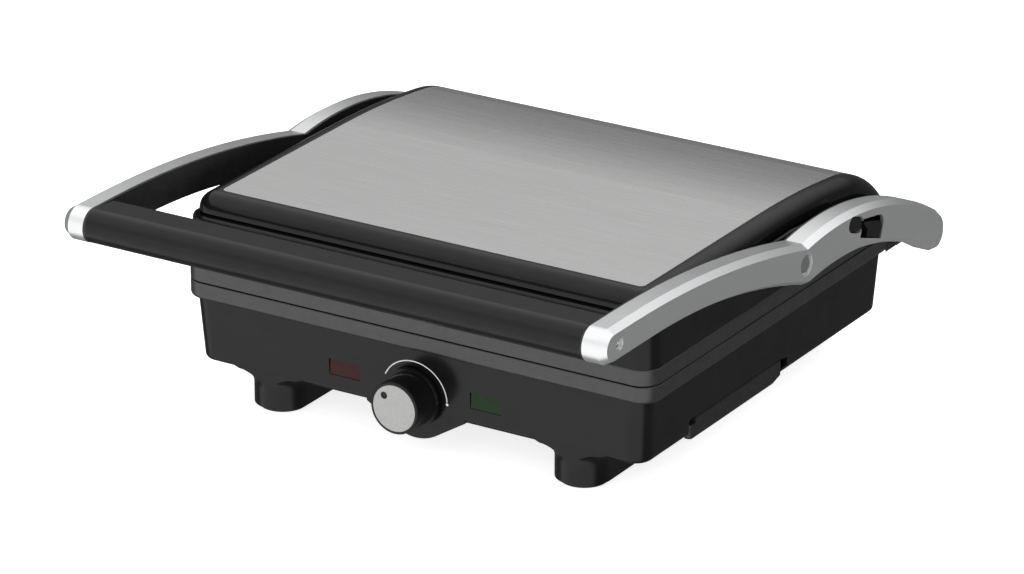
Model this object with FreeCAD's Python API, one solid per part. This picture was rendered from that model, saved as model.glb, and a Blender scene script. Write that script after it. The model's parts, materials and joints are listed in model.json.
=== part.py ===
import FreeCAD, Part
import math
import os

# Contact grill (panini press), closed. Millimetres. +X is the object's own left-to-right as seen
# from its front, +Y runs from the grip at the front to the hinge at the back, +Z is up.
# Heights are drawn from a datum a little above the table. The finished parts are raised so that
# the rubber pads stand on z = 0, and the origin then lies under the middle of the overall box.

V = FreeCAD.Vector
X_AXIS = V(1, 0, 0)
Y_AXIS = V(0, 1, 0)
Z_AXIS = V(0, 0, 1)
SIDES = (-1, 1)

# ---------------------------------------------------------------- driving dimensions
WALL = 2.5                      # moulded wall
SEAM_GAP = 0.6                  # parting line between base and lid

# plan outline shared by the base rim and the lid rim
RIM_HALF = 161.5
RIM_FRONT = -114.7
RIM_REAR = 179.7
RIM_RADIUS = 12.5
OPENING_HALF = 147.0            # opening in both rims for the grill plates
OPENING_FRONT = -99.0
OPENING_REAR = 163.0
OPENING_RADIUS = 8.0

# heights
TABLE = -2.2                    # underside of the rubber pads, below the datum
TUB_BOTTOM = 22.0
RIM_BOTTOM = 62.2
PARTING = 73.4
LID_RIM_TOP = 83.6
SHELL_TOP = 114.6               # lower lid shell
CAP_BOTTOM = 116.0              # top lid shell, above the groove
LID_TOP = 127.0

# tub
TUB_HALF_LOW = 154.0
TUB_FRONT_LOW = -110.0
TUB_FRONT_HIGH = -112.5
TUB_REAR_LOW = 175.0
TUB_RADIUS = 11.0
TUB_EDGE = 3.2                  # rounding along the bottom edge
TUB_LEAN = (TUB_FRONT_LOW - TUB_FRONT_HIGH) / (RIM_BOTTOM - TUB_BOTTOM)

# legs
LEG_X = 105.0
LEG_RADIUS = 17.3
LEG_LENGTH = 29.0
LEG_FRONT_CENTRE = TUB_FRONT_LOW + LEG_RADIUS - 0.2
LEG_REAR_CENTRE = TUB_REAR_LOW - LEG_RADIUS + 0.2
LEG_BOTTOM = 0.2
LEG_COVE = 9.0
LEG_SPREAD = 7.0                # how much further the leg spreads over the tub's rounded edge
PAD_RADIUS = 15.0
PAD_TOP = 2.8

# control panel
DIAL_Z = 32.5
DIAL_RADIUS = 16.2
SKIRT_RADIUS = 18.5
DISC_RADIUS = 14.4
APRON_RADIUS = 26.8
APRON_HALF = 34.0               # where the apron's sides meet the tub's bottom edge
KNOB_FACE_Y = -133.3
LAMP_X = 49.0
LAMP_Z = 38.3
LAMP_WIDTH = 21.5
LAMP_HEIGHT = 10.4

# drip tray and its channel
TRAY_FRONT_Y = -56.5            # ends of the tray's face, in the tub's right side
TRAY_BACK_Y = 51.7
NOTCH_WIDTH = 7.0               # finger notches at both ends of the tray's face
NOTCH_BOTTOM = 28.5
BOWL_FRONT_Y = -44.5            # ends of the bowl's side flanges
BOWL_BACK_Y = 48.0
TRAY_INNER_X = -62.0
TRAY_FACE_X = 154.7
TRAY_FACE_DEPTH = 5.0
TRAY_BOTTOM = 19.8
TRAY_FLANGE_Z = 27.0
TRAY_FLANGE_TOP = 28.6
TRAY_TOP = 31.6
CHANNEL_TOP = 32.0
CHANNEL_GAP = 1.2               # between the tray and its channel
RAIL_WIDTH = 2.4
CHUTE_X = 128.0
CHUTE_Y = 1.5

# lid
CAP_HALF = 158.0
CAP_FRONT = -109.0
CAP_EDGE = 11.0                 # rounding of the crown's upper edges
STEEL_HALF = 145.0
STEEL_FRONT = -96.0
STEEL_THICKNESS = 0.9
STEEL_REAR = 166.0
STEEL_CORNER = 3.5
FALL_START_Y = 39.5             # where the lid's level top begins to fall away in a long arc
FALL_RADIUS = 712.0
ROLL_START_Y = 130.0            # where it rolls down to the back
ROLL_RADIUS = 72.0
GROOVE_BEND_Y = 45.0            # where the groove begins to fall away
GROOVE_BEND_RADIUS = 400.0

# arms
ARM_INNER = 168.7
ARM_OUTER = 183.5
ARM_CHAMFER = 4.5               # bevel along the outer face: its width across the arm
ARM_CHAMFER_DROP = 2.8          # and how far it cuts into the outline
LINER_THICKNESS = 1.5
LINER_INNER = ARM_INNER - LINER_THICKNESS
ARM_WEB = 2.2
NOSE_Y = -192.6
NOSE_Z = 132.4
NOSE_RADIUS = 10.6
FLOAT_Y = 27.2                  # screws on which the lid floats
FLOAT_Z = 106.6
HINGE_Y = 182.0                 # main hinge behind the base
HINGE_Z = 81.0
GRIP_SCREW_Y = -186.9
GRIP_SCREW_Z = 132.8
SHANK_RADIUS = 4.0
RUNNING_GAP = 0.05

# keyhole window in the right arm, in its own tilted frame
SLOT_Y = 92.6
SLOT_Z = 100.9
SLOT_TILT = -18.6
SLOT_LENGTH = 28.0
SLOT_HEIGHT_FRONT = 11.8
SLOT_HEIGHT_REAR = 16.0
SLOT_CORNER = 6.5               # at the top of the rear end
LOBE_ALONG = -8.45              # round-ended front part, where the release lever pivots
LOBE_ACROSS = 8.3
LOBE_HALF = 3.95
LOBE_RADIUS = 5.1
LEVER_PIN_RADIUS = 2.0
LEVER_GAP = 0.8

# grill plates
PLATE_HALF = 145.0
PLATE_FRONT = -97.0
PLATE_REAR = 161.0
PLATE_THICKNESS = 5.0
RIB_HEIGHT = 3.0
RIB_WIDTH = 4.0
RIB_PITCH = 9.5
PLATE_GAP = 0.5                 # from each rib to the parting plane


# ---------------------------------------------------------------- helpers
def box(x0, x1, y0, y1, z0, z1):
    return Part.makeBox(x1 - x0, y1 - y0, z1 - z0, V(x0, y0, z0))


def rod(start, axis, radius, length):
    return Part.makeCylinder(radius, length, start, axis)


def ring(start, axis, outer, inner, length):
    return rod(start, axis, outer, length).cut(rod(start, axis, inner, length))


def joined(shapes):
    whole = shapes[0]
    for shape in shapes[1:]:
        whole = whole.fuse(shape)
    return whole.removeSplitter()


def mirrored(shape):
    return shape.mirror(V(0, 0, 0), X_AXIS)


def both_sides(right_shape):
    return [right_shape, mirrored(right_shape)]


def rounded_outline(half, front, rear, radius, z):
    """Closed rounded rectangle, symmetric about X = 0, at height z."""
    side = radius * (1 - math.sqrt(0.5))
    corners = (
        (V(half - radius, front, z), V(half - side, front + side, z), V(half, front + radius, z)),
        (V(half, rear - radius, z), V(half - side, rear - side, z), V(half - radius, rear, z)),
        (V(radius - half, rear, z), V(side - half, rear - side, z), V(-half, rear - radius, z)),
        (V(-half, front + radius, z), V(side - half, front + side, z), V(radius - half, front, z)),
    )
    edges = []
    for index, corner in enumerate(corners):
        edges.append(Part.Arc(*corner).toShape())
        edges.append(Part.makeLine(corner[2], corners[(index + 1) % 4][0]))
    return Part.Wire(edges)


def tapered(low, high):
    """Solid between two rounded outlines, each (half, front, rear, radius, z)."""
    return Part.makeLoft([rounded_outline(*low), rounded_outline(*high)], True, True)


def prism(half, front, rear, radius, z0, z1):
    return Part.Face(rounded_outline(half, front, rear, radius, z0)).extrude(V(0, 0, z1 - z0))


def edges_at_height(shape, z):
    return [e for e in shape.Edges
            if abs(e.BoundBox.ZMin - z) < 1e-4 and abs(e.BoundBox.ZMax - z) < 1e-4]


def slot_outline(centre_x, front_y, rear_y, radius, z):
    """Closed stadium that runs along Y."""
    left = centre_x - radius
    right = centre_x + radius
    front_arc = Part.Arc(V(left, front_y, z), V(centre_x, front_y - radius, z), V(right, front_y, z))
    rear_arc = Part.Arc(V(right, rear_y, z), V(centre_x, rear_y + radius, z), V(left, rear_y, z))
    return Part.Wire([
        front_arc.toShape(),
        Part.makeLine(V(right, front_y, z), V(right, rear_y, z)),
        rear_arc.toShape(),
        Part.makeLine(V(left, rear_y, z), V(left, front_y, z)),
    ])


def stadium(centre_x, front_y, rear_y, radius, z0, z1):
    return Part.Face(slot_outline(centre_x, front_y, rear_y, radius, z0)).extrude(V(0, 0, z1 - z0))


def tube_along(points, radius, bend):
    """Round bar through points, with arcs of one radius at its corners."""
    edges = []
    start = points[0]
    for index in range(1, len(points) - 1):
        corner = points[index]
        back = (points[index - 1] - corner).normalize()
        ahead = (points[index + 1] - corner).normalize()
        half_turn = back.getAngle(ahead) / 2
        reach = bend / math.tan(half_turn)
        middle = (back + ahead).normalize()
        arc_start = corner + back * reach
        arc_end = corner + ahead * reach
        arc_middle = corner + middle * (bend / math.sin(half_turn) - bend)
        edges.append(Part.makeLine(start, arc_start))
        edges.append(Part.Arc(arc_start, arc_middle, arc_end).toShape())
        start = arc_end
    edges.append(Part.makeLine(start, points[-1]))
    path = Part.Wire(edges)
    section = Part.Wire(Part.makeCircle(radius, points[0], points[1] - points[0]))
    return path.makePipeShell([section], True, False)


# ---------------------------------------------------------------- base housing
def tub_outer(inset, bottom, top):
    low = TUB_LEAN * (bottom - TUB_BOTTOM) - inset
    high = TUB_LEAN * (top - TUB_BOTTOM) - inset
    radius = TUB_RADIUS - inset
    return tapered(
        (TUB_HALF_LOW + low, TUB_FRONT_LOW - low, TUB_REAR_LOW + low, radius, bottom),
        (TUB_HALF_LOW + high, TUB_FRONT_LOW - high, TUB_REAR_LOW + high, radius, top))


def tub_skin():
    block = tub_outer(0, TUB_BOTTOM, RIM_BOTTOM)
    return block.makeFillet(TUB_EDGE, edges_at_height(block, TUB_BOTTOM))


def apron():
    """Half disc that hangs below the panel, around the dial, with straight sides up to the tub."""
    face_y = TUB_FRONT_LOW - 0.2
    drop = DIAL_Z - TUB_BOTTOM
    corner_reach = math.hypot(APRON_HALF, drop)
    tangent_angle = math.atan2(-drop, APRON_HALF) - math.acos(APRON_RADIUS / corner_reach)
    tangent_x = APRON_RADIUS * math.cos(tangent_angle)
    tangent_z = DIAL_Z + APRON_RADIUS * math.sin(tangent_angle)
    roof = TUB_BOTTOM + TUB_EDGE

    def at(x, z):
        return V(x, face_y, z)

    outline = Part.Wire([
        Part.makeLine(at(-APRON_HALF, roof), at(-APRON_HALF, TUB_BOTTOM)),
        Part.makeLine(at(-APRON_HALF, TUB_BOTTOM), at(-tangent_x, tangent_z)),
        Part.Arc(at(-tangent_x, tangent_z), at(0, DIAL_Z - APRON_RADIUS), at(tangent_x, tangent_z)).toShape(),
        Part.makeLine(at(tangent_x, tangent_z), at(APRON_HALF, TUB_BOTTOM)),
        Part.makeLine(at(APRON_HALF, TUB_BOTTOM), at(APRON_HALF, roof)),
        Part.makeLine(at(APRON_HALF, roof), at(-APRON_HALF, roof)),
    ])
    return Part.Face(outline).extrude(V(0, 14, 0))


def dial_apron():
    return apron().cut(tub_skin())


def channel(grow, top):
    """Space under the floor that the drip tray slides into, open below and to +X."""
    room = CHANNEL_GAP + grow
    mouth_x = TRAY_FACE_X - TRAY_FACE_DEPTH - room
    bowl = box(TRAY_INNER_X - room, RIM_HALF, BOWL_FRONT_Y - room, BOWL_BACK_Y + room, TABLE, top)
    mouth = box(mouth_x, RIM_HALF, TRAY_FRONT_Y - room, TRAY_BACK_Y + room, TABLE, top)
    return bowl.fuse(mouth)


def finger_notches():
    """Openings at both ends of the tray's face, in the tub's wall and in the face itself."""
    inner_x = TRAY_FACE_X - TRAY_FACE_DEPTH - 0.5
    front_y = TRAY_FRONT_Y - 1
    front = box(inner_x, RIM_HALF, front_y, front_y + NOTCH_WIDTH, NOTCH_BOTTOM, CHANNEL_TOP + 0.6)
    back = box(inner_x, RIM_HALF, TRAY_BACK_Y, TRAY_BACK_Y + NOTCH_WIDTH, NOTCH_BOTTOM - 3, CHANNEL_TOP - 0.8)
    return front.fuse(back)


def lamp_window(side, grow, y0, y1):
    return box(side * LAMP_X - LAMP_WIDTH / 2 - grow, side * LAMP_X + LAMP_WIDTH / 2 + grow,
               y0, y1, LAMP_Z - LAMP_HEIGHT / 2 - grow, LAMP_Z + LAMP_HEIGHT / 2 + grow)


def base_tub():
    shell = tub_skin().cut(tub_outer(WALL, TUB_BOTTOM + WALL, RIM_BOTTOM))
    shell = shell.cut(channel(0, CHANNEL_TOP)).cut(finger_notches())
    shell = shell.cut(rod(V(0, TUB_FRONT_HIGH - 5, DIAL_Z), Y_AXIS, SHANK_RADIUS + 0.5, 15))
    for side in SIDES:
        shell = shell.cut(lamp_window(side, 0, TUB_FRONT_HIGH - 5, TUB_FRONT_LOW + 10))
    shell = shell.cut(inlet_body(0.0))
    for x, y in base_screw_places():
        post = ring(V(x, y, TUB_BOTTOM + WALL), Z_AXIS, 5.0, 1.6, RIM_BOTTOM - TUB_BOTTOM - WALL)
        shell = shell.fuse(post)
        shell = shell.cut(rod(V(x, y, TUB_BOTTOM - 1), Z_AXIS, 1.6, 10))
        shell = shell.cut(rod(V(x, y, TUB_BOTTOM - 1), Z_AXIS, 4.2, 3.5))
    for row in range(7):
        vent_y = 100 + row * 7
        shell = shell.cut(box(-30, 30, vent_y, vent_y + 3, TUB_BOTTOM - 1, TUB_BOTTOM + WALL + 1))
    return shell.removeSplitter()


def tray_housing():
    """Roof and walls over the channel, standing on the tub's floor."""
    cavity = tub_outer(WALL, TUB_BOTTOM + WALL, RIM_BOTTOM)
    housing = channel(WALL, CHANNEL_TOP + WALL).common(cavity).cut(channel(0, CHANNEL_TOP))
    return housing.cut(rod(V(CHUTE_X, CHUTE_Y, CHANNEL_TOP - 1), Z_AXIS, 8.3, 10)).cut(finger_notches())


def base_screw_places():
    return [(side * 138, y) for side in SIDES for y in (-94, 159)]


def base_screws():
    """Pan-head screws from below, up through the tub's posts into the rim."""
    screws = []
    for x, y in base_screw_places():
        head = rod(V(x, y, TUB_BOTTOM + 0.4), Z_AXIS, 3.6, 2.1)
        head = head.cut(box(x - 3, x + 3, y - 0.5, y + 0.5, TUB_BOTTOM, TUB_BOTTOM + 1.2))
        head = head.cut(box(x - 0.5, x + 0.5, y - 3, y + 3, TUB_BOTTOM, TUB_BOTTOM + 1.2))
        shank_length = RIM_BOTTOM - TUB_BOTTOM
        screws.append(head.fuse(rod(V(x, y, TUB_BOTTOM + WALL), Z_AXIS, 1.5, shank_length)))
    return Part.makeCompound(screws)


def leg_centres():
    front = (LEG_FRONT_CENTRE, LEG_FRONT_CENTRE + LEG_LENGTH)
    rear = (LEG_REAR_CENTRE - LEG_LENGTH, LEG_REAR_CENTRE)
    return [(side * LEG_X, ends) for side in SIDES for ends in (front, rear)]


def base_legs():
    """Four legs under the tub; each flares into its floor with a cove and spreads over its rounded edge."""
    footprint = prism(TUB_HALF_LOW, TUB_FRONT_LOW - 0.2, TUB_REAR_LOW + 0.2, TUB_RADIUS, TABLE, 31)
    skin = tub_skin()
    legs = []
    for x, (y0, y1) in leg_centres():
        column = stadium(x, y0, y1, LEG_RADIUS, LEG_BOTTOM, TUB_BOTTOM + TUB_EDGE)
        sections = []
        for step in range(6):
            angle = math.radians(18 * step)
            radius = LEG_RADIUS + LEG_COVE * (1 - math.cos(angle))
            height = TUB_BOTTOM - LEG_COVE * (1 - math.sin(angle))
            sections.append(slot_outline(x, y0, y1, radius, height))
        flare = Part.makeLoft(sections, True, False)
        shoulder = Part.makeLoft([
            slot_outline(x, y0, y1, LEG_RADIUS + LEG_COVE, TUB_BOTTOM),
            slot_outline(x, y0, y1, LEG_RADIUS + LEG_COVE + LEG_SPREAD, TUB_BOTTOM + TUB_EDGE)], True, True)
        leg = column.fuse(flare).fuse(shoulder).common(footprint).cut(skin)
        leg = leg.cut(stadium(x, y0, y1, PAD_RADIUS + 0.1, TABLE, PAD_TOP)).cut(channel(0, CHANNEL_TOP))
        legs.append(leg.removeSplitter())
    return Part.makeCompound(legs)


def foot_pads():
    pads = []
    for x, (y0, y1) in leg_centres():
        pad = stadium(x, y0, y1, PAD_RADIUS, TABLE, PAD_TOP)
        pads.append(pad.makeChamfer(0.8, edges_at_height(pad, TABLE)))
    return Part.makeCompound(pads)


def base_rim():
    block = prism(RIM_HALF, RIM_FRONT, RIM_REAR, RIM_RADIUS, RIM_BOTTOM, PARTING - SEAM_GAP / 2)
    block = block.makeFillet(3.0, edges_at_height(block, RIM_BOTTOM))
    block = block.makeFillet(0.7, edges_at_height(block, PARTING - SEAM_GAP / 2))
    block = block.cut(prism(OPENING_HALF, OPENING_FRONT, OPENING_REAR, OPENING_RADIUS, 0, 100))
    for x, y in base_screw_places():
        tab_end = math.copysign(OPENING_HALF + 3, x)
        tab = box(min(x, tab_end), max(x, tab_end), y - 5, y + 5, RIM_BOTTOM, RIM_BOTTOM + 2.4)
        block = block.fuse(tab).fuse(rod(V(x, y, RIM_BOTTOM), Z_AXIS, 5.0, 2.4))
        block = block.cut(rod(V(x, y, RIM_BOTTOM - 1), Z_AXIS, 1.55, 6))
    return block.removeSplitter()


# ---------------------------------------------------------------- base interior
def plate_blank(z_back, z_face, out):
    """Grill plate slab with a rim, a channel round the edge and ribs; out is +1 or -1 along Z."""
    slab_face = z_face - out * RIB_HEIGHT
    slab = prism(PLATE_HALF, PLATE_FRONT, PLATE_REAR, 6, min(z_back, slab_face), max(z_back, slab_face))
    gutter = prism(PLATE_HALF - 3, PLATE_FRONT + 3, PLATE_REAR - 3, 4, 0, 200)
    gutter = gutter.cut(prism(PLATE_HALF - 12, PLATE_FRONT + 12, PLATE_REAR - 12, 3, 0, 200))
    gutter_floor = slab_face - out * 2.2
    band = box(-200, 200, -200, 200, min(gutter_floor, slab_face), max(gutter_floor, slab_face))
    slab = slab.cut(gutter.common(band))
    ribs = []
    count = int((2 * PLATE_HALF - 30) / RIB_PITCH)
    for index in range(count + 1):
        x = (index - count / 2) * RIB_PITCH
        ribs.append(rib(x, slab_face, z_face, out))
    return joined([slab] + ribs)


def rib(x, z0, z1, out):
    """Straight rib along Y with sloping flanks and ends."""
    wide = RIB_WIDTH / 2
    narrow = RIB_WIDTH / 4
    front = PLATE_FRONT + 16
    rear = PLATE_REAR - 16
    root = z0 - out * 0.5
    base = Part.makePolygon([V(x - wide, front, root), V(x + wide, front, root),
                             V(x + wide, rear, root), V(x - wide, rear, root), V(x - wide, front, root)])
    crest = Part.makePolygon([V(x - narrow, front + 2, z1), V(x + narrow, front + 2, z1),
                              V(x + narrow, rear - 2, z1), V(x - narrow, rear - 2, z1),
                              V(x - narrow, front + 2, z1)])
    return Part.makeLoft([base, crest], True, True)


def lower_grill_plate():
    face = PARTING - PLATE_GAP
    plate = plate_blank(face - RIB_HEIGHT - PLATE_THICKNESS, face, 1)
    drain_x = CHUTE_X + 9
    plate = plate.cut(rod(V(drain_x, CHUTE_Y, 40), Z_AXIS, 3.5, 40))
    return plate


def grease_chute():
    """Funnel that takes fat from the plate's drain hole down to the tray."""
    top = PARTING - PLATE_GAP - RIB_HEIGHT - PLATE_THICKNESS - 0.3
    pipe = ring(V(CHUTE_X, CHUTE_Y, CHANNEL_TOP - 0.5), Z_AXIS, 8.0, 6.5, top - 8 - CHANNEL_TOP + 0.5)
    outer = Part.makeCone(8.0, 14.0, 8, V(CHUTE_X, CHUTE_Y, top - 8))
    inner = Part.makeCone(6.5, 12.8, 8, V(CHUTE_X, CHUTE_Y, top - 8))
    return pipe.fuse(outer.cut(inner)).removeSplitter()


def heater_loop(z, bend_out):
    """Tubular element bent into a W, with its two cold ends at the back."""
    reach = 96
    points = [
        V(-30, 140, z), V(-30, 110, z), V(-reach, 110, z), V(-reach, -60, z), V(-38, -60, z),
        V(-38, 60, z), V(38, 60, z), V(38, -60, z), V(reach, -60, z), V(reach, 110, z),
        V(30, 110, z), V(30, 140, z),
    ]
    element = tube_along(points, 3.3, bend_out)
    for x in (-30, 30):
        element = element.fuse(rod(V(x, 140, z), Y_AXIS, 1.2, 8))
    return element


def lower_heating_element():
    return heater_loop(PARTING - PLATE_GAP - RIB_HEIGHT - PLATE_THICKNESS - 3.6, 12)


def reflector(z0, z1, chute_hole):
    """Sheet-steel pan: a flat floor with a lip on all four sides."""
    pan = prism(124, -86, 150, 6, z0, z1)
    out = 1 if z1 > z0 else -1
    inner = prism(123.2, -85.2, 149.2, 5.2, z0 + out * 0.8, z1)
    pan = pan.cut(inner)
    if chute_hole:
        pan = pan.cut(rod(V(CHUTE_X, CHUTE_Y, z0 - 20), Z_AXIS, 15, 60))
    for x in (-60, 60):
        for y in (-40, 100):
            pan = pan.cut(rod(V(x, y, z0 - 5), Z_AXIS, 2.5, 10))
    return pan


def lower_reflector():
    return reflector(46.0, 54.0, True)


def reflector_posts():
    """Four spacer posts that carry the reflector above the tub's floor."""
    posts = []
    for x in (-60, 60):
        for y in (-70, 120):
            posts.append(rod(V(x, y, TUB_BOTTOM + WALL), Z_AXIS, 4, 46.0 - TUB_BOTTOM - WALL))
    return Part.makeCompound(posts)


def thermostat():
    """Thermostat body behind the panel: a block on a bracket with two blade terminals."""
    front = TUB_FRONT_LOW + WALL + 3.5
    body = box(-14, 14, front + 1.2, front + 20, DIAL_Z - 4.5, DIAL_Z + 10)
    bracket = box(-20, 20, front, front + 1.2, DIAL_Z - 4.5, DIAL_Z + 12)
    blades = [box(x - 3, x + 3, front + 20, front + 28, DIAL_Z + 4, DIAL_Z + 4.8) for x in (-8, 8)]
    whole = joined([body, bracket] + blades)
    return whole.cut(rod(V(0, front - 2, DIAL_Z), Y_AXIS, 3.0 + RUNNING_GAP, 14))


def lamp_lens(side):
    """Pilot-lamp window: a face plate in the panel's opening with a rim behind the wall."""
    face = lamp_window(side, -0.1, TUB_FRONT_LOW - 0.3, TUB_FRONT_LOW + WALL + 0.6)
    flange = lamp_window(side, 1.5, TUB_FRONT_LOW + WALL + 0.6, TUB_FRONT_LOW + WALL + 1.8)
    return face.fuse(flange).removeSplitter()


def lamp_tubes():
    """Neon lamps, one behind each window."""
    tubes = []
    for side in SIDES:
        start = V(side * LAMP_X - 8, TUB_FRONT_LOW + WALL + 6, LAMP_Z)
        tubes.append(rod(start, X_AXIS, 3, 13).fuse(Part.makeSphere(3, start)).removeSplitter())
    return Part.makeCompound(tubes)


def terminal_block():
    block = box(-24, 24, 128, 142, TUB_BOTTOM + WALL, TUB_BOTTOM + WALL + 12)
    for x in (-16, 0, 16):
        block = block.cut(rod(V(x, 135, TUB_BOTTOM), Z_AXIS, 2.5, 30))
    return block


def inlet_body(inset):
    """Appliance inlet in the rear wall, set low and to the left seen from the front."""
    return box(-118 + inset, -86 - inset, 150, 190, 36 + inset, 58 - inset)


def power_inlet():
    wall_rear = TUB_REAR_LOW + TUB_LEAN * (47 - TUB_BOTTOM)
    body = inlet_body(0.2).common(box(-200, 200, wall_rear - 24, wall_rear + 0.3, 0, 100))
    body = body.cut(box(-115.5, -88.5, wall_rear - 18, wall_rear + 5, 39, 55))
    for x, z in ((-107, 45), (-97, 45), (-102, 50)):
        body = body.fuse(box(x - 1, x + 1, wall_rear - 20, wall_rear - 4, z - 2, z + 2))
    return body.removeSplitter()


# ---------------------------------------------------------------- drip tray
def drip_tray():
    """Shallow tray with side flanges and a taller face that closes the mouth of the channel."""
    face_x = TRAY_FACE_X - TRAY_FACE_DEPTH
    front = BOWL_FRONT_Y + RAIL_WIDTH
    back = BOWL_BACK_Y - RAIL_WIDTH
    bowl = box(TRAY_INNER_X, face_x + 1, front, back, TRAY_BOTTOM, TRAY_FLANGE_TOP)
    bowl = bowl.makeFillet(3, edges_at_height(bowl, TRAY_BOTTOM))
    flange = box(TRAY_INNER_X, face_x + 1, BOWL_FRONT_Y, BOWL_BACK_Y, TRAY_FLANGE_Z, TRAY_FLANGE_TOP)
    hollow = box(TRAY_INNER_X + 2, face_x - 1, front + 2, back - 2, TRAY_BOTTOM + 2, TRAY_TOP)
    face = box(face_x, TRAY_FACE_X, TRAY_FRONT_Y, TRAY_BACK_Y, TRAY_BOTTOM, TRAY_TOP)
    face = face.makeFillet(2, [e for e in face.Edges if e.BoundBox.ZLength > 5])
    low_z = TRAY_BOTTOM - 0.3
    slant = Part.makePolygon([
        V(face_x - 1, TRAY_BACK_Y - 12, low_z),
        V(face_x - 1, TRAY_BACK_Y + 1, TRAY_BOTTOM + 3),
        V(face_x - 1, TRAY_BACK_Y + 1, low_z),
        V(face_x - 1, TRAY_BACK_Y - 12, low_z),
    ])
    face = face.cut(Part.Face(slant).extrude(V(TRAY_FACE_DEPTH + 2, 0, 0)))
    tray = bowl.fuse(flange).cut(hollow).fuse(face)
    return tray.cut(finger_notches()).removeSplitter()


def tray_rails():
    """Ledges on the channel's long sides that carry the tray's flanges."""
    rails = []
    front = BOWL_FRONT_Y - CHANNEL_GAP
    back = BOWL_BACK_Y + CHANNEL_GAP
    for y0, y1 in ((front, BOWL_FRONT_Y + 1.4), (BOWL_BACK_Y - 1.4, back)):
        rails.append(box(TRAY_INNER_X, 140, y0, y1, TUB_BOTTOM, TRAY_FLANGE_Z - 0.4))
    return Part.makeCompound(rails)


# ---------------------------------------------------------------- knob
def knob():
    back = TUB_FRONT_HIGH - 0.7
    skirt = rod(V(0, back, DIAL_Z), -Y_AXIS, SKIRT_RADIUS, 3.2)
    body = Part.makeCone(DIAL_RADIUS + 0.9, DIAL_RADIUS, back - KNOB_FACE_Y, V(0, back, DIAL_Z), -Y_AXIS)
    whole = skirt.fuse(body).removeSplitter()
    front_edges = [e for e in whole.Edges
                   if abs(e.BoundBox.YMin - KNOB_FACE_Y) < 1e-4 and abs(e.BoundBox.YMax - KNOB_FACE_Y) < 1e-4]
    whole = whole.makeFillet(1.0, front_edges)
    whole = whole.cut(rod(V(0, KNOB_FACE_Y, DIAL_Z), Y_AXIS, DISC_RADIUS + 0.1, 0.8))
    return whole.cut(rod(V(0, back, DIAL_Z), -Y_AXIS, 3.0 + RUNNING_GAP, 12))


def knob_face():
    """Metal disc let into the knob's front, with a dimple that marks the setting."""
    disc = rod(V(0, KNOB_FACE_Y + 0.1, DIAL_Z), Y_AXIS, DISC_RADIUS, 0.7)
    angle = math.radians(135)
    dimple = V(9.8 * math.cos(angle), KNOB_FACE_Y - 1, DIAL_Z + 9.8 * math.sin(angle))
    return disc.cut(rod(dimple, Y_AXIS, 2.3, 3))


def thermostat_shaft():
    back = TUB_FRONT_HIGH - 0.7
    return rod(V(0, back - 12, DIAL_Z), Y_AXIS, 3.0, TUB_FRONT_LOW + WALL + 14 - back + 12)


# ---------------------------------------------------------------- lid
def lid_rim():
    bottom = PARTING + SEAM_GAP / 2
    block = prism(RIM_HALF, RIM_FRONT, RIM_REAR, RIM_RADIUS, bottom, LID_RIM_TOP)
    block = block.makeFillet(0.7, edges_at_height(block, bottom))
    block = block.makeFillet(0.7, edges_at_height(block, LID_RIM_TOP))
    return block.cut(prism(OPENING_HALF, OPENING_FRONT, OPENING_REAR, OPENING_RADIUS, 0, 100))


def under_crown(drop, half):
    """Everything below the lid's top curve lowered by drop: level, a long arc, then a roll to the back."""
    fall = math.asin((ROLL_START_Y - FALL_START_Y) / FALL_RADIUS)
    end = math.radians(70)
    floor_z = 60
    fall_centre = V(-half, FALL_START_Y, LID_TOP - FALL_RADIUS)
    roll_centre = fall_centre + V(0, math.sin(fall), math.cos(fall)) * (FALL_RADIUS - ROLL_RADIUS)

    def on_fall(angle):
        return fall_centre + V(0, math.sin(angle), math.cos(angle)) * (FALL_RADIUS - drop)

    def on_roll(angle):
        return roll_centre + V(0, math.sin(angle), math.cos(angle)) * (ROLL_RADIUS - drop)

    last = on_roll(end)
    foot = V(-half, last.y + (last.z - floor_z) / math.tan(end), floor_z)
    front_top = V(-half, -130, LID_TOP - drop)
    front_foot = V(-half, -130, floor_z)
    profile = Part.Wire([
        Part.makeLine(front_top, on_fall(0)),
        Part.Arc(on_fall(0), on_fall(fall / 2), on_fall(fall)).toShape(),
        Part.Arc(on_roll(fall), on_roll((fall + end) / 2), last).toShape(),
        Part.makeLine(last, foot),
        Part.makeLine(foot, front_foot),
        Part.makeLine(front_foot, front_top),
    ])
    return Part.Face(profile).extrude(V(2 * half, 0, 0))


def under_groove(z_flat, half):
    """Everything below the groove: level to the bend, then falling away along an arc."""
    rear_y = 215
    end = math.asin((rear_y - GROOVE_BEND_Y) / GROOVE_BEND_RADIUS)
    centre = V(-half, GROOVE_BEND_Y, z_flat - GROOVE_BEND_RADIUS)

    def on_arc(angle):
        return centre + V(0, math.sin(angle), math.cos(angle)) * GROOVE_BEND_RADIUS

    profile = Part.Wire([
        Part.makeLine(V(-half, -130, z_flat), on_arc(0)),
        Part.Arc(on_arc(0), on_arc(end / 2), on_arc(end)).toShape(),
        Part.makeLine(on_arc(end), V(-half, rear_y, 60)),
        Part.makeLine(V(-half, rear_y, 60), V(-half, -130, 60)),
        Part.makeLine(V(-half, -130, 60), V(-half, -130, z_flat)),
    ])
    return Part.Face(profile).extrude(V(2 * half, 0, 0))


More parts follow.
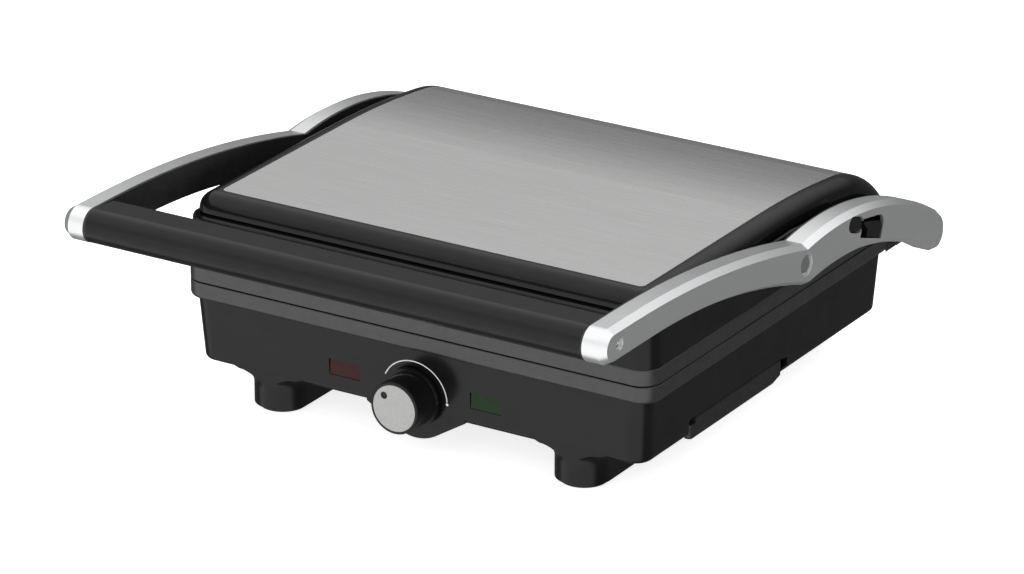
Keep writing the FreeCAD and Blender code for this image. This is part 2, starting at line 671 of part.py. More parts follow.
def lid_lower_shell():
    """Black side walls of the lid, from the rim up to the groove."""
    low = (RIM_HALF - 0.5, RIM_FRONT + 0.5, RIM_REAR - 0.5, RIM_RADIUS, LID_RIM_TOP)
    high = (RIM_HALF - 1.6, RIM_FRONT + 1.6, RIM_REAR - 1.5, RIM_RADIUS, SHELL_TOP)
    outer = tapered(low, high)
    outer = outer.makeFillet(2.6, edges_at_height(outer, SHELL_TOP))
    outer = outer.common(under_groove(SHELL_TOP, 200))
    inner = prism(RIM_HALF - 7, RIM_FRONT + 7, RIM_REAR - 6, 7, LID_RIM_TOP, SHELL_TOP)
    inner = inner.common(under_groove(SHELL_TOP - WALL, 200))
    crown = prism(CAP_HALF - 8, CAP_FRONT + 8, RIM_REAR - 16, 8, LID_RIM_TOP, LID_TOP)
    shell = outer.cut(inner).cut(crown)
    for side in SIDES:
        shell = shell.cut(rod(V(side * 150, FLOAT_Y, FLOAT_Z), X_AXIS * side, 6.0, 20))
    return shell.removeSplitter()


def on_crown_edge(edge):
    """True for the edges where the crown's top meets its front and side walls."""
    limits = edge.BoundBox
    centre = limits.Center
    upright = limits.XLength + limits.YLength < 0.01
    outside = abs(centre.x) > CAP_HALF - RIM_RADIUS or centre.y < CAP_FRONT + RIM_RADIUS
    return outside and not upright and limits.ZMax > 60.1


def crown_block():
    """Body under the lid's top curve with rounded upper edges, left long at the back."""
    block = prism(CAP_HALF, CAP_FRONT, 260, RIM_RADIUS, 60, 200).common(under_crown(0, 200))
    return block.makeFillet(CAP_EDGE, [e for e in block.Edges if on_crown_edge(e)])


def lid_top_shell():
    """Black crown of the lid: rounded edges, a shallow seat for the steel cover."""
    outline = prism(CAP_HALF, CAP_FRONT, RIM_REAR - 3, RIM_RADIUS, 60, 200)
    above_groove = box(-200, 200, -200, 300, 60, 200).cut(under_groove(CAP_BOTTOM, 210))
    outer = crown_block().common(outline).common(above_groove)
    inside = prism(CAP_HALF - 6, CAP_FRONT + 6, RIM_REAR - 9, RIM_RADIUS - 6, 60, 200)
    inner = under_crown(WALL + STEEL_THICKNESS, 200).common(inside)
    shell = outer.cut(inner)
    shell = shell.cut(steel_sheet(0.4, STEEL_THICKNESS + 0.1, 1.0))
    neck = prism(CAP_HALF - 2.7, CAP_FRONT + 2.7, RIM_REAR - 5.7, RIM_RADIUS - 2.7, 60, 200)
    neck = neck.cut(inside).common(under_groove(CAP_BOTTOM, 210)).cut(under_groove(SHELL_TOP, 220))
    return shell.fuse(neck.common(under_crown(1, 200))).removeSplitter()


def steel_sheet(grow, depth, rise):
    """Sheet that follows the lid's top curve from the front edge to partway down the roll."""
    outline = prism(STEEL_HALF + grow, STEEL_FRONT - grow, STEEL_REAR + grow, STEEL_CORNER + grow, 60, 200)
    return under_crown(-rise, 200).cut(under_crown(depth, 210)).common(outline)


def lid_steel_cover():
    return steel_sheet(0, STEEL_THICKNESS, 0)


def lid_pivot_bushes():
    """Flanged bushes in the lid's sides that turn on the arms' shoulder screws."""
    start = V(157.0, FLOAT_Y, FLOAT_Z)
    bush = rod(start, X_AXIS, 5.9, 4)
    bush = bush.fuse(rod(V(160.7, FLOAT_Y, FLOAT_Z), X_AXIS, 8.5, LINER_INNER - 0.4 - 160.7))
    bush = bush.fuse(rod(V(150.0, FLOAT_Y, FLOAT_Z), X_AXIS, 5.9, 7))
    bush = bush.cut(rod(V(149.0, FLOAT_Y, FLOAT_Z), X_AXIS, SHANK_RADIUS + RUNNING_GAP, 30))
    return Part.makeCompound(both_sides(bush.removeSplitter()))


def upper_grill_plate():
    face = PARTING + PLATE_GAP
    return plate_blank(face + RIB_HEIGHT + PLATE_THICKNESS, face, -1)


def upper_heating_element():
    return heater_loop(PARTING + PLATE_GAP + RIB_HEIGHT + PLATE_THICKNESS + 3.6, 12)


def upper_reflector():
    """Sheet-steel pan, open side down, over the upper element."""
    pan = prism(124, -86, 130, 6, 90.0, 98.0)
    pan = pan.cut(prism(123.2, -85.2, 129.2, 5.2, 90.0, 97.2))
    for x in (-60, 60):
        for y in (-40, 100):
            pan = pan.cut(rod(V(x, y, 95), Z_AXIS, 2.5, 10))
    return pan


def plate_screws():
    """Screws that hold the upper reflector and plate to the lid."""
    screws = []
    for x in (-60, 60):
        for y in (-40, 100):
            shank = rod(V(x, y, 82.5), Z_AXIS, 2.0, 16)
            screws.append(shank.fuse(rod(V(x, y, 98.2), Z_AXIS, 4.0, 2.4)).removeSplitter())
    return Part.makeCompound(screws)


# ---------------------------------------------------------------- arms
def circle_point(centre_y, centre_z, radius, angle):
    return V(0, centre_y + radius * math.cos(math.radians(angle)),
             centre_z + radius * math.sin(math.radians(angle)))


def arm_outline():
    """Side outline: a bowed front lever and a drooping rear part that meet above the float screw."""
    top = NOSE_Z + NOSE_RADIUS
    bottom = NOSE_Z - NOSE_RADIUS
    nose_top = V(0, NOSE_Y, top)
    nose_bottom = V(0, NOSE_Y, bottom)
    notch = V(0, 28.3, 118.6)
    elbow = V(0, 30.5, 92.1)
    tail_top = V(0, 194.5, 85.4)
    tail_back = V(0, 203.3, 71.0)
    tail_bottom = V(0, 190.5, 59.2)
    return Part.Wire([
        Part.Arc(nose_bottom, V(0, NOSE_Y - NOSE_RADIUS, NOSE_Z), nose_top).toShape(),
        Part.makeLine(nose_top, V(0, -171, top)),
        Part.Arc(V(0, -171, top), V(0, -70, 136.9), notch).toShape(),
        Part.Arc(notch, circle_point(66, -131, 252, 74.6), tail_top).toShape(),
        Part.Arc(tail_top, V(0, 201.4, 79.4), tail_back).toShape(),
        Part.Arc(tail_back, V(0, 199.8, 62.4), tail_bottom).toShape(),
        Part.Arc(tail_bottom, V(0, 118.0, 88.3), elbow).toShape(),
        Part.Arc(elbow, V(0, -60, 114.6), V(0, -156, bottom)).toShape(),
        Part.makeLine(V(0, -156, bottom), nose_bottom),
    ])


def arm_slab(x0, x1, inset):
    wire = arm_outline()
    face = Part.Face(wire)
    if inset:
        face = face.makeOffset2D(-inset, 2)
    face.translate(V(x0, 0, 0))
    return face.extrude(V(x1 - x0, 0, 0))


def slot_point(along, across):
    tilt = math.radians(SLOT_TILT)
    return V(0, SLOT_Y + along * math.cos(tilt) - across * math.sin(tilt),
             SLOT_Z + along * math.sin(tilt) + across * math.cos(tilt))


def slot_block(corners, x0, x1):
    """Prism along X through corners given in the slot's own frame."""
    points = [slot_point(along, across) + V(x0, 0, 0) for along, across in corners]
    return Part.Face(Part.makePolygon(points + [points[0]])).extrude(V(x1 - x0, 0, 0))


def lobe(radius, x0, x1):
    """Round-ended bar along X's cross-section in the slot's own frame, centred on the lever's pivot."""
    front = LOBE_ALONG - LOBE_HALF
    back = LOBE_ALONG + LOBE_HALF
    low = LOBE_ACROSS - radius
    high = LOBE_ACROSS + radius
    middle = slot_block(((front, low), (back, low), (back, high), (front, high)), x0, x1)
    pieces = [middle]
    for along in (front, back):
        pieces.append(rod(slot_point(along, LOBE_ACROSS) + V(x0, 0, 0), X_AXIS, radius, x1 - x0))
    return joined(pieces)


def rear_top_edge(block):
    """The block's edge along X that lies furthest to the rear and highest."""
    along_x = [e for e in block.Edges if e.BoundBox.XLength > 5]
    return max(along_x, key=lambda e: e.BoundBox.YMax + e.BoundBox.ZMax)


def slot_window(x0, x1):
    corners = ((0, 0.3), (SLOT_LENGTH - 0.4, 0.3), (SLOT_LENGTH, SLOT_HEIGHT_REAR), (0, SLOT_HEIGHT_FRONT))
    window = slot_block(corners, x0, x1)
    window = window.makeFillet(SLOT_CORNER, [rear_top_edge(window)])
    return window.fuse(lobe(LOBE_RADIUS, x0, x1)).removeSplitter()


def arm_body():
    """Right arm: a channel of drawn metal with a bevelled outer edge and three inner bosses."""
    bevel_start = ARM_OUTER - ARM_CHAMFER
    flank = arm_slab(ARM_INNER, bevel_start, 0)
    lower_wire = Part.Face(arm_outline()).OuterWire
    upper_wire = Part.Face(arm_outline()).makeOffset2D(-ARM_CHAMFER_DROP, 2).OuterWire
    lower_wire.translate(V(bevel_start, 0, 0))
    upper_wire.translate(V(ARM_OUTER, 0, 0))
    solid = flank.fuse(Part.makeLoft([lower_wire, upper_wire], True, True))
    inner_room = arm_slab(ARM_INNER - 1, ARM_INNER + 8.5, 2.4)
    outer_room = arm_slab(ARM_INNER + 8, ARM_OUTER - ARM_WEB, 5.0)
    shell = solid.cut(inner_room).cut(outer_room)
    bosses = ((FLOAT_Y, FLOAT_Z, 10.5), (HINGE_Y, HINGE_Z, 9.5), (GRIP_SCREW_Y, GRIP_SCREW_Z, 6.5))
    for y, z, radius in bosses:
        shell = shell.fuse(rod(V(ARM_INNER, y, z), X_AXIS, radius, ARM_OUTER - ARM_WEB - ARM_INNER + 0.2))
    shell = shell.cut(rod(V(ARM_INNER - 1, FLOAT_Y, FLOAT_Z), X_AXIS, SHANK_RADIUS + 0.1, 30))
    shell = shell.cut(rod(V(ARM_OUTER - 2.8, FLOAT_Y, FLOAT_Z), X_AXIS, 7.0, 10))
    shell = shell.cut(rod(V(ARM_INNER - 1, HINGE_Y, HINGE_Z), X_AXIS, SHANK_RADIUS + RUNNING_GAP, 11))
    shell = shell.cut(rod(V(ARM_INNER - 1, GRIP_SCREW_Y, GRIP_SCREW_Z), X_AXIS, 2.2, 30))
    shell = shell.cut(rod(V(ARM_OUTER - 3.2, GRIP_SCREW_Y, GRIP_SCREW_Z), X_AXIS, 4.1, 10))
    return shell.removeSplitter()


def arm_right():
    return arm_body().cut(slot_window(ARM_INNER - 5, ARM_OUTER + 5))


def arm_left():
    return mirrored(arm_body())


def liner_body():
    liner = arm_slab(LINER_INNER, ARM_INNER, 0.3)
    liner = liner.cut(rod(V(LINER_INNER - 1, FLOAT_Y, FLOAT_Z), X_AXIS, SHANK_RADIUS + 0.3, 5))
    liner = liner.cut(rod(V(LINER_INNER - 1, HINGE_Y, HINGE_Z), X_AXIS, SHANK_RADIUS + 0.3, 5))
    return liner.cut(rod(V(LINER_INNER - 1, GRIP_SCREW_Y, GRIP_SCREW_Z), X_AXIS, 2.2, 5))


def lever_pin():
    """Pin behind the window's round end, on which the release lever swings."""
    centre = slot_point(LOBE_ALONG, LOBE_ACROSS)
    return rod(centre + V(ARM_INNER, 0, 0), X_AXIS, LEVER_PIN_RADIUS, 10)


def release_lever():
    """Swinging lever: a round-ended head in the window's front part and a flat tail in its rear part."""
    inner_x = ARM_INNER + 3.3
    face_x = ARM_OUTER - 0.4
    head = lobe(LOBE_RADIUS - LEVER_GAP, inner_x, face_x)
    head = head.makeFillet(0.8, [e for e in head.Edges if e.BoundBox.XMin > face_x - 0.001])
    neck = slot_block(((LOBE_ALONG, 6.0), (12, 6.0), (12, 9.4), (LOBE_ALONG, 10.6)), inner_x, face_x - 3)
    tail_corners = ((9.2, 1.1), (27.0, 1.1), (27.0, 11.4), (4.0, 10.3), (1.8, 9.0), (8.6, 6.4))
    tail = slot_block(tail_corners, inner_x, face_x)
    tail = tail.makeFillet(5.0, [rear_top_edge(tail)])
    lever = joined([head, neck, tail])
    pivot = slot_point(LOBE_ALONG, LOBE_ACROSS) + V(inner_x - 1, 0, 0)
    return lever.cut(rod(pivot, X_AXIS, LEVER_PIN_RADIUS + RUNNING_GAP, 8.5))


def grip_bar():
    """Grip across the front: a rounded bar with a flat, sloping back."""
    top = NOSE_Z + NOSE_RADIUS - 0.2
    bottom = NOSE_Z - NOSE_RADIUS + 0.2
    radius = NOSE_RADIUS - 0.2
    x = -LINER_INNER
    back_y = -171.5

    def at(y, z):
        return V(x, y, z)

    heel = at(back_y - 10.5, bottom)
    outline = Part.Wire([
        Part.Arc(at(NOSE_Y, bottom), at(NOSE_Y - radius, NOSE_Z), at(NOSE_Y, top)).toShape(),
        Part.makeLine(at(NOSE_Y, top), at(back_y - 4, top - 0.6)),
        Part.Arc(at(back_y - 4, top - 0.6), at(back_y - 0.9, top - 2.2), at(back_y, top - 5.5)).toShape(),
        Part.makeLine(at(back_y, top - 5.5), at(back_y - 4, bottom + 5)),
        Part.Arc(at(back_y - 4, bottom + 5), at(back_y - 6.4, bottom + 1.4), heel).toShape(),
        Part.makeLine(heel, at(NOSE_Y, bottom)),
    ])
    bar = Part.Face(outline).extrude(V(2 * LINER_INNER, 0, 0))
    for side in SIDES:
        bar = bar.cut(rod(V(side * LINER_INNER, GRIP_SCREW_Y, GRIP_SCREW_Z), X_AXIS * -side, 2.0, 14))
    return bar


def screw_with_head(x_tip, x_seat, y, z, shank_radius, head_radius, head_height):
    """Round-headed screw pointing inwards along X, its head seated at x_seat."""
    shank = rod(V(x_tip, y, z), X_AXIS, shank_radius, x_seat - x_tip + 0.2)
    head = rod(V(x_seat, y, z), X_AXIS, head_radius, head_height)
    outer = x_seat + head_height
    head = head.makeFillet(0.7 * head_height, [e for e in head.Edges if abs(e.BoundBox.XMin - outer) < 1e-4])
    return shank.fuse(head).removeSplitter()


def cross_recess(outer_x, y, z, reach):
    """Cross cut into a screw's head from outer_x inwards."""
    bars = [box(outer_x - 1.1, outer_x + 1, y - dy, y + dy, z - dz, z + dz)
            for dy, dz in ((reach, 0.55), (0.55, reach))]
    return bars[0].fuse(bars[1])


def float_screws():
    """Plain-headed shoulder screws on which the lid floats."""
    screw = screw_with_head(152.0, ARM_OUTER - 2.75, FLOAT_Y, FLOAT_Z, SHANK_RADIUS, 6.3, 2.0)
    return Part.makeCompound(both_sides(screw))


def grip_screws():
    seat = ARM_OUTER - 3.15
    screw = screw_with_head(LINER_INNER - 12, seat, GRIP_SCREW_Y, GRIP_SCREW_Z, 1.95, 3.7, 2.0)
    screw = screw.cut(cross_recess(seat + 2.0, GRIP_SCREW_Y, GRIP_SCREW_Z, 2.3))
    return Part.makeCompound(both_sides(screw))


# ---------------------------------------------------------------- hinge
def hinge_bracket():
    """Lug on the base's rear corner: a foot that continues the rim and a plate that carries the pin."""
    x0 = 162.2
    x1 = LINER_INNER - 0.4
    foot_top = 68.0
    foot_rear = 182.8
    plate_bottom = 66.4
    foot = box(146, x0, 165, foot_rear, RIM_BOTTOM, foot_top)
    foot = foot.cut(box(RIM_HALF, x0, 165, 172, RIM_BOTTOM, foot_top))
    foot = foot.cut(box(RIM_HALF, x0, 165, foot_rear, RIM_BOTTOM, plate_bottom))
    pin_side_front = V(x0, HINGE_Y - 11, HINGE_Z)
    pin_side_rear = V(x0, HINGE_Y + 11, HINGE_Z)
    plate_profile = Part.Wire([
        Part.makeLine(V(x0, 172, plate_bottom), V(x0, 186, plate_bottom)),
        Part.Arc(V(x0, 186, plate_bottom), V(x0, 191.8, 73.5), pin_side_rear).toShape(),
        Part.Arc(pin_side_rear, V(x0, HINGE_Y, HINGE_Z + 11), pin_side_front).toShape(),
        Part.makeLine(pin_side_front, V(x0, 172, plate_bottom)),
    ])
    plate = Part.Face(plate_profile).extrude(V(x1 - x0, 0, 0))
    lug = foot.fuse(plate)
    lug = lug.cut(prism(RIM_HALF, RIM_FRONT, RIM_REAR, RIM_RADIUS, 0, 200))
    return lug.cut(rod(V(150, HINGE_Y, HINGE_Z), X_AXIS, SHANK_RADIUS, 40)).removeSplitter()


def hinge_pins():
    """Pins fixed in the lugs; the arms turn on their outer ends."""
    pin = rod(V(162.3, HINGE_Y, HINGE_Z), X_AXIS, SHANK_RADIUS, 16.0)
    return Part.makeCompound(both_sides(pin))


# ---------------------------------------------------------------- build
def build_nodes():
    bracket = hinge_bracket()
    liner = liner_body()
    return {
        "base_tub": base_tub(),
        "dial_apron": dial_apron(),
        "tray_housing": tray_housing(),
        "base_legs": base_legs(),
        "foot_pads": foot_pads(),
        "base_rim": base_rim(),
        "base_screws": base_screws(),
        "lower_grill_plate": lower_grill_plate(),
        "lower_heating_element": lower_heating_element(),
        "lower_reflector": lower_reflector(),
        "reflector_posts": reflector_posts(),
        "grease_chute": grease_chute(),
        "thermostat": thermostat(),
        "power_lamp_lens": lamp_lens(-1),
        "ready_lamp_lens": lamp_lens(1),
        "lamp_tubes": lamp_tubes(),
        "terminal_block": terminal_block(),
        "power_inlet": power_inlet(),
        "tray_rails": tray_rails(),
        "hinge_bracket_right": bracket,
        "hinge_bracket_left": mirrored(bracket),
        "hinge_pins": hinge_pins(),
        "drip_tray": drip_tray(),
        "knob": knob(),
        "knob_face": knob_face(),
        "thermostat_shaft": thermostat_shaft(),
        "lid_rim": lid_rim(),
        "lid_lower_shell": lid_lower_shell(),
        "lid_top_shell": lid_top_shell(),
        "lid_steel_cover": lid_steel_cover(),
        "lid_pivot_bushes": lid_pivot_bushes(),
        "upper_grill_plate": upper_grill_plate(),
        "upper_heating_element": upper_heating_element(),
        "upper_reflector": upper_reflector(),
        "plate_screws": plate_screws(),
        "arm_right": arm_right(),
        "arm_left": arm_left(),
        "arm_liner_right": liner,
        "arm_liner_left": mirrored(liner),
        "lever_pin": lever_pin(),
        "release_lever": release_lever(),
        "grip_bar": grip_bar(),
        "float_screws": float_screws(),
        "grip_screws": grip_screws(),
    }


os.makedirs("parts", exist_ok=True)
for node, shape in build_nodes().items():
    shape.translate(V(0, 0, -TABLE))
    limits = shape.BoundBox
    print("%-24s solids %2d valid %s volume %10.1f  X %7.1f %7.1f  Y %7.1f %7.1f  Z %6.1f %6.1f" % (
        node, len(shape.Solids), shape.isValid(), shape.Volume,
        limits.XMin, limits.XMax, limits.YMin, limits.YMax, limits.ZMin, limits.ZMax))
    shape.exportStep("parts/%s.step" % node)
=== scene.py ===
"""Camera, studio light, materials and printed marks for the panini press."""
import json
import math

import bmesh
import bpy
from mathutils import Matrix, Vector

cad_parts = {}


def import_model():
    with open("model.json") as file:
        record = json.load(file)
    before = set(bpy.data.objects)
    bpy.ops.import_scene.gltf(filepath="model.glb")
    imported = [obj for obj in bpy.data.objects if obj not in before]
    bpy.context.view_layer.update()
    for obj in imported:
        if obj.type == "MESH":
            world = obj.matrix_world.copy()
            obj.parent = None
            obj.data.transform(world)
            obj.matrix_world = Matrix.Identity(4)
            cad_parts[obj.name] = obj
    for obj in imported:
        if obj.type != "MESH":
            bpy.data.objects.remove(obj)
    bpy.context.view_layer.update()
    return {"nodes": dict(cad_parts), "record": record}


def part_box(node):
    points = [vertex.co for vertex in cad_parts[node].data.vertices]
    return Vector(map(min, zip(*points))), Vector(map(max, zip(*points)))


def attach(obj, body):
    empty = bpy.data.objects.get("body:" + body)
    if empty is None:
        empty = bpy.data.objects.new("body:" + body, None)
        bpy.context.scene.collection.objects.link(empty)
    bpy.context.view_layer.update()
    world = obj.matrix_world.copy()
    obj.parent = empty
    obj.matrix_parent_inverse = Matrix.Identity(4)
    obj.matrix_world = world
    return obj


# ---------------------------------------------------------------- camera, in metres and degrees
CAMERA_AZIMUTH = 31.74          # from straight in front, round to the right
CAMERA_ELEVATION = 22.13
CAMERA_PLACE = (1.6111, -2.6073, 1.3114)
CAMERA_LENS = 194.5             # mm
CAMERA_SENSOR = 36.0            # mm
CAMERA_NEAR = 0.1
CAMERA_FAR = 50.0

# ---------------------------------------------------------------- studio
FLOOR_HALF = 6.0                # metres
FLOOR_TONE = (0.9, 0.9, 0.9, 1)
FLOOR_ROUGHNESS = 0.9
FLOOR_GLOW = 0.8
WHITE = (1, 1, 1, 1)
DOME_BRIGHT = 1.25              # low part of the dome toward the front
DOME_DIM = 0.13                 # low part of the dome toward the back
SKY_BRIGHT = 1.3                # top of the dome
FRONT_FADE = 0.80               # what is left of the front's brightness higher up
SKY_HEIGHTS = (0.17, 0.75)      # where the sky starts and where it is full, the dome's radius being 1
FADE_HEIGHTS = (0.05, 0.45)     # where the front starts to fade and where it stops
FRONT_DEPTHS = (-0.5, -0.1)     # from the bright front back to where it is dim

# ---------------------------------------------------------------- marking round the dial
ARC_RADIUS = 0.0223             # metres, as are the other lengths here
ARC_WIDTH = 0.0007
ARC_START = 2.0                 # degrees, from the right and over the top
ARC_END = 154.0
ARC_STEPS = 64
DOT_RADIUS = 0.0009
DOT_BEFORE_ARC = 4.0            # degrees
DOT_STEPS = 12
PRINT_RAISED = 0.00006
PANEL_LEAN = 0.0622             # how far the panel comes forward for each unit of height

# ---------------------------------------------------------------- noise
NOISE_RANGE = (0.3, 0.7)        # where most values of the noise lie
BUMP_DEPTH = 0.0002             # metres
UNEVEN = 0.06                   # how far the roughness of the plain surfaces wanders either way
STREAKS = {"scale": 1500, "stretch": (0.012, 1, 1), "detail": 6}   # brushed from side to side


# ---------------------------------------------------------------- node tools
def mapped(tree, value, span, results, interpolation="LINEAR"):
    """Value carried over from a span to the range between two results."""
    node = tree.nodes.new("ShaderNodeMapRange")
    node.interpolation_type = interpolation
    sockets = ("From Min", "From Max", "To Min", "To Max")
    for socket, number in zip(sockets, (*span, *results)):
        node.inputs[socket].default_value = number
    tree.links.new(value, node.inputs["Value"])
    return node.outputs["Result"]


def combined(tree, operation, first, second):
    """Two values put through one operation of the Math node."""
    node = tree.nodes.new("ShaderNodeMath")
    node.operation = operation
    tree.links.new(first, node.inputs[0])
    tree.links.new(second, node.inputs[1])
    return node.outputs[0]


def noise(tree, scale, stretch=(1, 1, 1), detail=2.0):
    """Noise on the object's own coordinates, in features per metre; stretch scales each axis."""
    coords = tree.nodes.new("ShaderNodeTexCoord")
    mapping = tree.nodes.new("ShaderNodeMapping")
    mapping.inputs["Scale"].default_value = stretch
    texture = tree.nodes.new("ShaderNodeTexNoise")
    texture.inputs["Scale"].default_value = scale
    texture.inputs["Detail"].default_value = detail
    tree.links.new(coords.outputs["Object"], mapping.inputs["Vector"])
    tree.links.new(mapping.outputs["Vector"], texture.inputs["Vector"])
    return texture.outputs["Fac"]


def mixed(tree, factor, first, second):
    """Colour between two others."""
    node = tree.nodes.new("ShaderNodeMix")
    node.data_type = "RGBA"
    node.inputs["A"].default_value = (*first, 1)
    node.inputs["B"].default_value = (*second, 1)
    tree.links.new(factor, node.inputs["Factor"])
    return node.outputs["Result"]


# ---------------------------------------------------------------- camera and studio
def make_camera():
    """Long lens from the front right, a little above the press."""
    data = bpy.data.cameras.new("camera")
    data.lens = CAMERA_LENS
    data.sensor_width = CAMERA_SENSOR
    data.clip_start = CAMERA_NEAR
    data.clip_end = CAMERA_FAR
    camera = bpy.data.objects.new("camera", data)
    bpy.context.scene.collection.objects.link(camera)
    azimuth = math.radians(CAMERA_AZIMUTH)
    elevation = math.radians(CAMERA_ELEVATION)
    back = Vector((math.sin(azimuth) * math.cos(elevation),
                   -math.cos(azimuth) * math.cos(elevation),
                   math.sin(elevation)))
    camera.location = CAMERA_PLACE
    camera.rotation_mode = "QUATERNION"
    camera.rotation_quaternion = (-back).to_track_quat("-Z", "Y")
    bpy.context.scene.camera = camera


def make_dome():
    """White studio dome: bright overhead and toward the front, dim low down at the back."""
    world = bpy.data.worlds.new("studio_dome")
    bpy.context.scene.world = world
    world.use_nodes = True
    tree = world.node_tree
    background = tree.nodes["Background"]
    background.inputs["Color"].default_value = WHITE
    coords = tree.nodes.new("ShaderNodeTexCoord")
    split = tree.nodes.new("ShaderNodeSeparateXYZ")
    tree.links.new(coords.outputs["Generated"], split.inputs[0])
    depth = split.outputs["Y"]
    height = split.outputs["Z"]
    sky = mapped(tree, height, SKY_HEIGHTS, (DOME_DIM, SKY_BRIGHT), "SMOOTHSTEP")
    front = mapped(tree, depth, FRONT_DEPTHS, (DOME_BRIGHT, DOME_DIM), "SMOOTHSTEP")
    fading = mapped(tree, height, FADE_HEIGHTS, (1.0, FRONT_FADE), "SMOOTHSTEP")
    low_front = combined(tree, "MULTIPLY", front, fading)
    tree.links.new(combined(tree, "MAXIMUM", sky, low_front), background.inputs["Strength"])


def make_floor():
    """Glowing white paper under the press, left out of reflections."""
    shape = bmesh.new()
    corners = [shape.verts.new((x * FLOOR_HALF, y * FLOOR_HALF, 0.0))
               for x, y in ((-1, -1), (1, -1), (1, 1), (-1, 1))]
    shape.faces.new(corners)
    material, _, shader = new_material("floor_paper")
    shader.inputs["Base Color"].default_value = FLOOR_TONE
    shader.inputs["Roughness"].default_value = FLOOR_ROUGHNESS
    shader.inputs["Emission Color"].default_value = WHITE
    shader.inputs["Emission Strength"].default_value = FLOOR_GLOW
    floor = add_piece("floor", shape, material)
    floor.visible_glossy = False


def add_piece(name, shape, material):
    """Object in one material, from a shape that is finished with here."""
    mesh = bpy.data.meshes.new(name)
    shape.to_mesh(mesh)
    shape.free()
    piece = bpy.data.objects.new(name, mesh)
    bpy.context.scene.collection.objects.link(piece)
    piece.data.materials.append(material)
    return piece


# ---------------------------------------------------------------- materials
def new_material(name):
    """Empty material, with its node tree and shader."""
    material = bpy.data.materials.new(name)
    material.use_nodes = True
    tree = material.node_tree
    return material, tree, tree.nodes["Principled BSDF"]


def surface(name, tones, tone_noise, roughness, rough_noise,
            relief=0.0, relief_noise=None, relief_depth=BUMP_DEPTH, constants=None):
    """Material whose colour and roughness wander between two values each, with fine relief."""
    material, tree, shader = new_material(name)
    tone = mapped(tree, noise(tree, **tone_noise), NOISE_RANGE, (0, 1))
    tree.links.new(mixed(tree, tone, *tones), shader.inputs["Base Color"])
    polish = mapped(tree, noise(tree, **rough_noise), NOISE_RANGE, roughness)
    tree.links.new(polish, shader.inputs["Roughness"])
    for socket, value in (constants or {}).items():
        shader.inputs[socket].default_value = value
    if relief_noise:
        bump = tree.nodes.new("ShaderNodeBump")
        bump.inputs["Strength"].default_value = relief
        bump.inputs["Distance"].default_value = relief_depth
        tree.links.new(noise(tree, **relief_noise), bump.inputs["Height"])
        tree.links.new(bump.outputs["Normal"], shader.inputs["Normal"])
    return material


def plain(dark, light, roughness, **others):
    """Settings shared by the smaller and hidden pieces."""
    return dict(tones=(dark, light), tone_noise={"scale": 400, "detail": 5},
                roughness=(roughness - UNEVEN, roughness + UNEVEN),
                rough_noise={"scale": 250, "detail": 5}, **others)


def plain_metal(dark, light, roughness):
    """Bare metal."""
    return plain(dark, light, roughness, relief=0.02, relief_noise={"scale": 1800},
                 constants={"Metallic": 1.0})


def plain_solid(dark, light, roughness):
    """Plastic, rubber, ceramic, glass and print."""
    return plain(dark, light, roughness, relief=0.12, relief_noise={"scale": 1500})


def lamp_lens(dark, light):
    """Moulded lens: coloured plastic, glossy face."""
    return dict(tones=(dark, light), tone_noise={"scale": 250},
                roughness=(0.12, 0.2), rough_noise={"scale": 200}, constants={"IOR": 1.3})


def main_settings():
    """Settings of the six surfaces that make up most of what is seen."""
    return {
        # Polished moulding with faint waviness and a slightly uneven polish.
        "gloss_black": dict(
            tones=((0.0045, 0.0045, 0.0046), (0.0065, 0.0065, 0.0066)), tone_noise={"scale": 60},
            roughness=(0.16, 0.21), rough_noise={"scale": 25, "detail": 4},
            relief=0.01, relief_noise={"scale": 900}, constants={"IOR": 1.33}),
        "satin_grey": dict(
            tones=((0.013, 0.0134, 0.0134), (0.018, 0.0184, 0.0184)), tone_noise={"scale": 300},
            roughness=(0.30, 0.42), rough_noise={"scale": 120, "detail": 4},
            relief=0.06, relief_noise={"scale": 2500}, constants={"IOR": 1.65}),
        "soft_black": dict(
            tones=((0.008, 0.008, 0.0085), (0.014, 0.014, 0.0145)), tone_noise={"scale": 500},
            roughness=(0.38, 0.52), rough_noise={"scale": 200, "detail": 4},
            relief=0.15, relief_noise={"scale": 2200}),
        "silver_paint": dict(
            tones=((0.75, 0.76, 0.765), (0.79, 0.80, 0.805)), tone_noise={"scale": 4000},
            roughness=(0.28, 0.31), rough_noise={"scale": 90, "detail": 4},
            relief=0.015, relief_noise={"scale": 3500}, constants={"Metallic": 0.88}),
        "brushed_steel": dict(
            tones=((0.77, 0.77, 0.765), (0.80, 0.80, 0.795)), tone_noise=STREAKS,
            roughness=(0.25, 0.28), rough_noise=STREAKS,
            relief=0.02, relief_noise=STREAKS, relief_depth=0.0001, constants={"Metallic": 1.0}),
        "dial_metal": dict(
            tones=((0.34, 0.34, 0.335), (0.38, 0.38, 0.375)), tone_noise={"scale": 700},
            roughness=(0.35, 0.45), rough_noise={"scale": 400}, constants={"Metallic": 0.3}),
    }


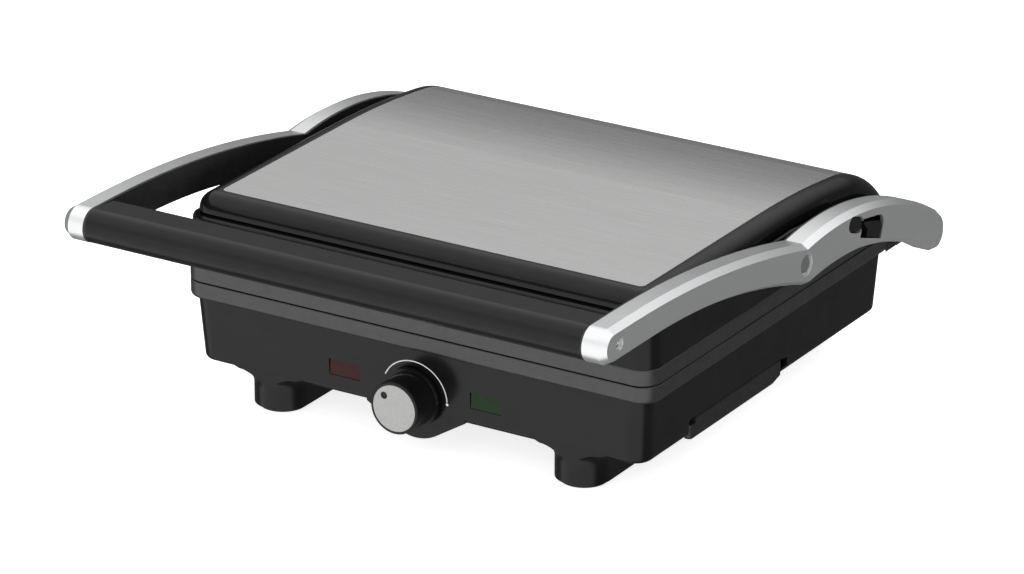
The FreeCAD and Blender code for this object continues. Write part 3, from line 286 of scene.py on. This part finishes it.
def other_settings():
    """Settings of the rest: dark tone, light tone, then the roughness if it isn't a lens."""
    return {
        "nonstick": plain_solid((0.012, 0.012, 0.012), (0.02, 0.02, 0.02), 0.42),
        "element_steel": plain_metal((0.16, 0.13, 0.11), (0.27, 0.24, 0.22), 0.42),
        "reflector_sheet": plain_metal((0.6, 0.6, 0.6), (0.7, 0.7, 0.7), 0.3),
        "screw_steel": plain_metal((0.82, 0.82, 0.82), (0.88, 0.88, 0.88), 0.24),
        "pad_rubber": plain_solid((0.008, 0.008, 0.008), (0.016, 0.016, 0.016), 0.8),
        "red_lens": lamp_lens((0.022, 0.0015, 0.0015), (0.030, 0.003, 0.003)),
        "green_lens": lamp_lens((0.0015, 0.017, 0.002), (0.003, 0.022, 0.004)),
        "lamp_glass": plain_solid((0.5, 0.45, 0.4), (0.6, 0.55, 0.5), 0.1),
        "white_print": plain_solid((0.7, 0.7, 0.7), (0.8, 0.8, 0.8), 0.5),
        "ceramic_white": plain_solid((0.6, 0.58, 0.54), (0.7, 0.68, 0.63), 0.5),
    }


def make_materials():
    """One material for each material slot of the record, and one for the print."""
    settings = {**main_settings(), **other_settings()}
    return {name: surface(name, **values) for name, values in settings.items()}


def dress_nodes(frame, materials):
    """Each CAD node takes the material of its slot in the record."""
    for part in frame["record"]["subparts"]:
        node = frame["nodes"][part["node"]]
        node.data.materials.clear()
        node.data.materials.append(materials[part["material_slot"]])


# ---------------------------------------------------------------- marking
def panel_point(radius, degrees):
    """Point on the front panel at a radius and angle about the dial's middle."""
    dial_low, dial_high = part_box("knob")
    panel_low, panel_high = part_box("base_tub")
    x = radius * math.cos(math.radians(degrees))
    z = (dial_low[2] + dial_high[2]) / 2 + radius * math.sin(math.radians(degrees))
    y = panel_low[1] + PANEL_LEAN * (panel_high[2] - z) - PRINT_RAISED
    return Vector((x, y, z))


def printed_piece(name, rows, material):
    """Flat print on the panel: quads between neighbouring rows of two points."""
    shape = bmesh.new()
    verts = [[shape.verts.new(point) for point in row] for row in rows]
    for first, second in zip(verts, verts[1:]):
        shape.faces.new((first[0], first[1], second[1], second[0]))
    piece = add_piece(name, shape, material)
    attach(piece, "base")


def arc_rows():
    """Inner and outer edge of the arc, from its right end on."""
    rows = []
    for step in range(ARC_STEPS + 1):
        degrees = ARC_START + (ARC_END - ARC_START) * step / ARC_STEPS
        rows.append((panel_point(ARC_RADIUS - ARC_WIDTH / 2, degrees),
                     panel_point(ARC_RADIUS + ARC_WIDTH / 2, degrees)))
    return rows


def dot_rows():
    """Lower and upper edge of the dot before the arc's right end."""
    centre = panel_point(ARC_RADIUS, ARC_START - DOT_BEFORE_ARC)
    rows = []
    for step in range(1, DOT_STEPS):
        turn = math.pi * step / DOT_STEPS
        half = DOT_RADIUS * math.sin(turn)
        side = DOT_RADIUS * math.cos(turn)
        rows.append((centre + Vector((side, 0, -half)), centre + Vector((side, 0, half))))
    return rows


# ---------------------------------------------------------------- build
def main():
    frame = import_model()
    bpy.context.scene.view_settings.view_transform = "Standard"
    make_camera()
    make_dome()
    make_floor()
    materials = make_materials()
    dress_nodes(frame, materials)
    printed_piece("dial_arc", arc_rows(), materials["white_print"])
    printed_piece("dial_dot", dot_rows(), materials["white_print"])


main()
